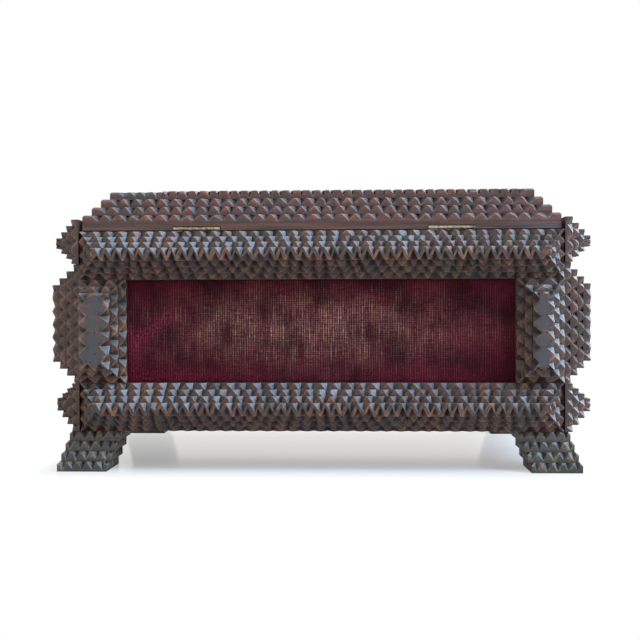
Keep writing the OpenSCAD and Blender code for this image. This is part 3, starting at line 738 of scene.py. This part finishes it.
def velvet_panel(wall, turn):
    """A velvet sheet stretched over a wall: a grid over its width and height that swells by a fraction
    of a millimetre, as a product of two sines, and tucks back at its rim, with its worn and brushed places
    as attributes, worked out from the shares u of the width and v of the height."""
    stand, size, foot = on_wall("velvet_" + wall, turn)
    columns, rows = int(size[0] / CLOTH_STEP), int(size[1] / CLOTH_STEP)
    u, v = np.meshgrid(np.linspace(0, 1, columns), np.linspace(0, 1, rows))
    rim = np.minimum(np.minimum(u, 1 - u) * size[0], np.minimum(v, 1 - v) * size[1])
    swell = CLOTH_SWELL * np.sin(7 * u + 3 * v) * np.sin(5 * v + 2 * u)
    out = VELVET_T - CLOTH_BACK + swell - TUCK_DEPTH * np.exp(-rim / TUCK_WIDTH)
    points = np.stack([(u - 0.5) * size[0], (v - 0.5) * size[1], out], 2).reshape(-1, 3)
    # It is bare round its middle, and brushed up in a crescent that climbs from the left edge, in a spot
    # under the crescent, and in a wavy band along the hem that fades to the right
    bare = hill(u, v, (0.47, 0.53), (0.36, 0.34))
    climb = v - 0.37 - 2.1 * u.clip(0, 0.18)
    crescent = 0.9 * hill(u, climb, (0.05, 0.0), (0.08, 0.085))
    spot = 0.75 * hill(u, v, (0.015, 0.26), (0.022, 0.16))
    hem = hill(0.0, v, (0.0, 0.05), (1.0, 0.08)) * (0.5 - 0.36 * u + 0.2 * np.sin(9 * u + 0.6))
    brushed = (crescent + spot + hem).clip(0, 1)
    tris = grid_triangles(rows, columns)
    mesh = bpy.data.meshes.new("cloth_" + wall)
    mesh.from_pydata((points @ stand.T + foot) * MM, [], tris)
    uv = mesh.uv_layers.new(name="weave")
    weave = np.stack([u * size[0], v * size[1]], 2).reshape(-1, 2)
    uv.data.foreach_set("uv", weave[tris.ravel()].ravel().astype(np.float32))
    for key, value in (("bare", bare), ("brushed", brushed)):
        layer = mesh.attributes.new(key, "FLOAT", "POINT")
        layer.data.foreach_set("value", value.ravel().astype(np.float32))
    mesh.shade_smooth()
    mesh.materials.append(VELVET)
    piece = bpy.data.objects.new("cloth_" + wall, mesh)
    bpy.context.scene.collection.objects.link(piece)
    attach(piece, "box")
    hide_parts("velvet_" + wall)


for wall, turn in TURNS.items():
    velvet_panel(wall, turn)

# Solids that stay as they are

FINISH = {"hinge": BRASS, "screws": BRASS, "board": BOARD_WOOD, "lid": LID_WOOD}
for name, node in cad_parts.items():
    material = FINISH.get(name.split("_")[0])
    if material and not node.hide_render:
        node.data.materials.clear()
        node.data.materials.append(material)

# Floor, light and camera, in metres

TABLE_REACH = 6.0
# The table turns white between these distances from the box's middle, to the sides and to front and back
WHITE_BESIDE = (0.138, 0.162)
WHITE_BEFORE = (0.08, 0.115)
# The share of plain white under the box, a painted light that lifts the box's shadow there, and the
# places from back to front between which it rises
PAINTED_LIGHT_UNDER = (0.37, 0.62)
UNDER_FROM, UNDER_TO = -0.06, 0.07


def white_table():
    """Polished white table: it mirrors the room under the box and takes its shadow, which a painted light
    lifts, and turns to plain white for the eye away from the box. For other rays it is grey, so that it
    throws little light up."""
    tree, shader, material = new_material("white_table")
    place = add_node(tree, "ShaderNodeTexCoord").outputs["Object"]
    depth = add_node(tree, "ShaderNodeSeparateXYZ", None, Vector=place).outputs["Y"]
    # Under the box a share of plain white is painted light that lifts the shadow, more toward the back
    under = add_node(tree, "ShaderNodeMapRange", None, Value=depth, From_Min=UNDER_FROM, From_Max=UNDER_TO,
                     To_Min=PAINTED_LIGHT_UNDER[0], To_Max=PAINTED_LIGHT_UNDER[1]).outputs[0]
    apart = add_node(tree, "ShaderNodeVectorMath", {"operation": "ABSOLUTE"}, _0=place).outputs[0]
    apart = add_node(tree, "ShaderNodeSeparateXYZ", None, Vector=apart).outputs
    away = under
    for axis, (low, high) in (("X", WHITE_BESIDE), ("Y", WHITE_BEFORE)):
        whiter = add_node(tree, "ShaderNodeMapRange", None, Value=apart[axis], From_Min=low, From_Max=high,
                          To_Min=under).outputs[0]
        away = add_node(tree, "ShaderNodeMath", {"operation": "MAXIMUM"}, _0=away, _1=whiter).outputs[0]
    seen = add_node(tree, "ShaderNodeLightPath").outputs["Is Camera Ray"]
    plain = add_node(tree, "ShaderNodeMath", {"operation": "MULTIPLY"}, _0=away, _1=seen).outputs[0]
    white = add_node(tree, "ShaderNodeEmission", None, Color=(1, 1, 1, 1), Strength=1.0).outputs[0]
    colour = add_node(tree, "ShaderNodeMix", {"data_type": "RGBA"}, _0=seen, _6=linear("#c6c6c4"),
                      _7=linear("#f2f2ee")).outputs[2]
    connect(tree, shader, Base_Color=colour, Roughness=0.12)
    mixed = add_node(tree, "ShaderNodeMixShader", None, _0=plain, _1=shader.outputs[0],
                     _2=white).outputs[0]
    connect(tree, tree.nodes["Material Output"], Surface=mixed)
    mesh = bpy.data.meshes.new("table_top")
    corner_signs = ((-1, -1), (1, -1), (1, 1), (-1, 1))
    mesh.from_pydata([(x * TABLE_REACH, y * TABLE_REACH, 0) for x, y in corner_signs], [], [(0, 1, 2, 3)])
    mesh.materials.append(material)
    table = bpy.data.objects.new("table_top", mesh)
    bpy.context.scene.collection.objects.link(table)


def white_room(fill):
    """A white room: plain white for the eye, a warm white for mirrors and glass, and a soft warm fill for
    the rest."""
    world = bpy.data.worlds.new("white_room")
    bpy.context.scene.world = world
    world.use_nodes = True
    tree = world.node_tree
    path = add_node(tree, "ShaderNodeLightPath").outputs
    tint = add_node(tree, "ShaderNodeMix", {"data_type": "RGBA"}, _0=path["Is Camera Ray"],
                    _6=linear("#f6f1ea"), _7=linear("#ffffff")).outputs[2]
    seen = path["Is Camera Ray"]
    for ray in ("Is Glossy Ray", "Is Transmission Ray"):
        seen = add_node(tree, "ShaderNodeMath", {"operation": "MAXIMUM"}, _0=seen, _1=path[ray]).outputs[0]
    level = add_node(tree, "ShaderNodeMapRange", None, Value=seen, To_Min=fill, To_Max=1.0).outputs[0]
    connect(tree, tree.nodes["Background"], Color=tint, Strength=level)


def soft_lamp(name, place, target, width, height, power, colour):
    """A rectangular lamp that faces a point."""
    lamp = bpy.data.lights.new(name, "AREA")
    lamp.shape = "RECTANGLE"
    lamp.size, lamp.size_y = width, height
    lamp.energy = power
    lamp.color = linear(colour)[:3]
    stand = bpy.data.objects.new(name, lamp)
    stand.location = place
    stand.rotation_euler = (Vector(target) - Vector(place)).to_track_quat("-Z", "Y").to_euler()
    bpy.context.scene.collection.objects.link(stand)


white_table()
white_room(fill=0.12)
soft_lamp("window_right", (1.5, -0.68, 1.27), (0, -0.05, 0.08), 1.2, 1.2, 98, "#bcdcff")
soft_lamp("window_far", (1.7, 1.4, 1.6), (0, 0, 0.1), 1.6, 1.6, 90, "#e2eeff")
soft_lamp("room_front", (-0.9, -2.4, 1.0), (0, 0, 0.08), 2.6, 1.6, 17, "#fff3e6")

# The camera: nearly level with the middle of the box, fitted to its edges in the photograph
EYE = (0.02066, -0.625, 0.09245)
YAW, PITCH, ROLL = 0.0383, -0.0149, -0.003
LENS_PX, FRAME_PX = 959.25, 640
SENSOR_MM = 36.0
camera_data = bpy.data.cameras.new("camera")
camera_data.sensor_width = SENSOR_MM
camera_data.lens = LENS_PX / FRAME_PX * SENSOR_MM
camera = bpy.data.objects.new("camera", camera_data)
camera.location = EYE
look = Vector((-math.sin(YAW) * math.cos(PITCH), math.cos(YAW) * math.cos(PITCH), math.sin(PITCH)))
tilt = Quaternion((0.0, 0.0, 1.0), ROLL)
camera.rotation_euler = (look.to_track_quat("-Z", "Y") @ tilt).to_euler()
bpy.context.scene.collection.objects.link(camera)
bpy.context.scene.camera = camera
bpy.context.scene.view_settings.view_transform = "Standard"
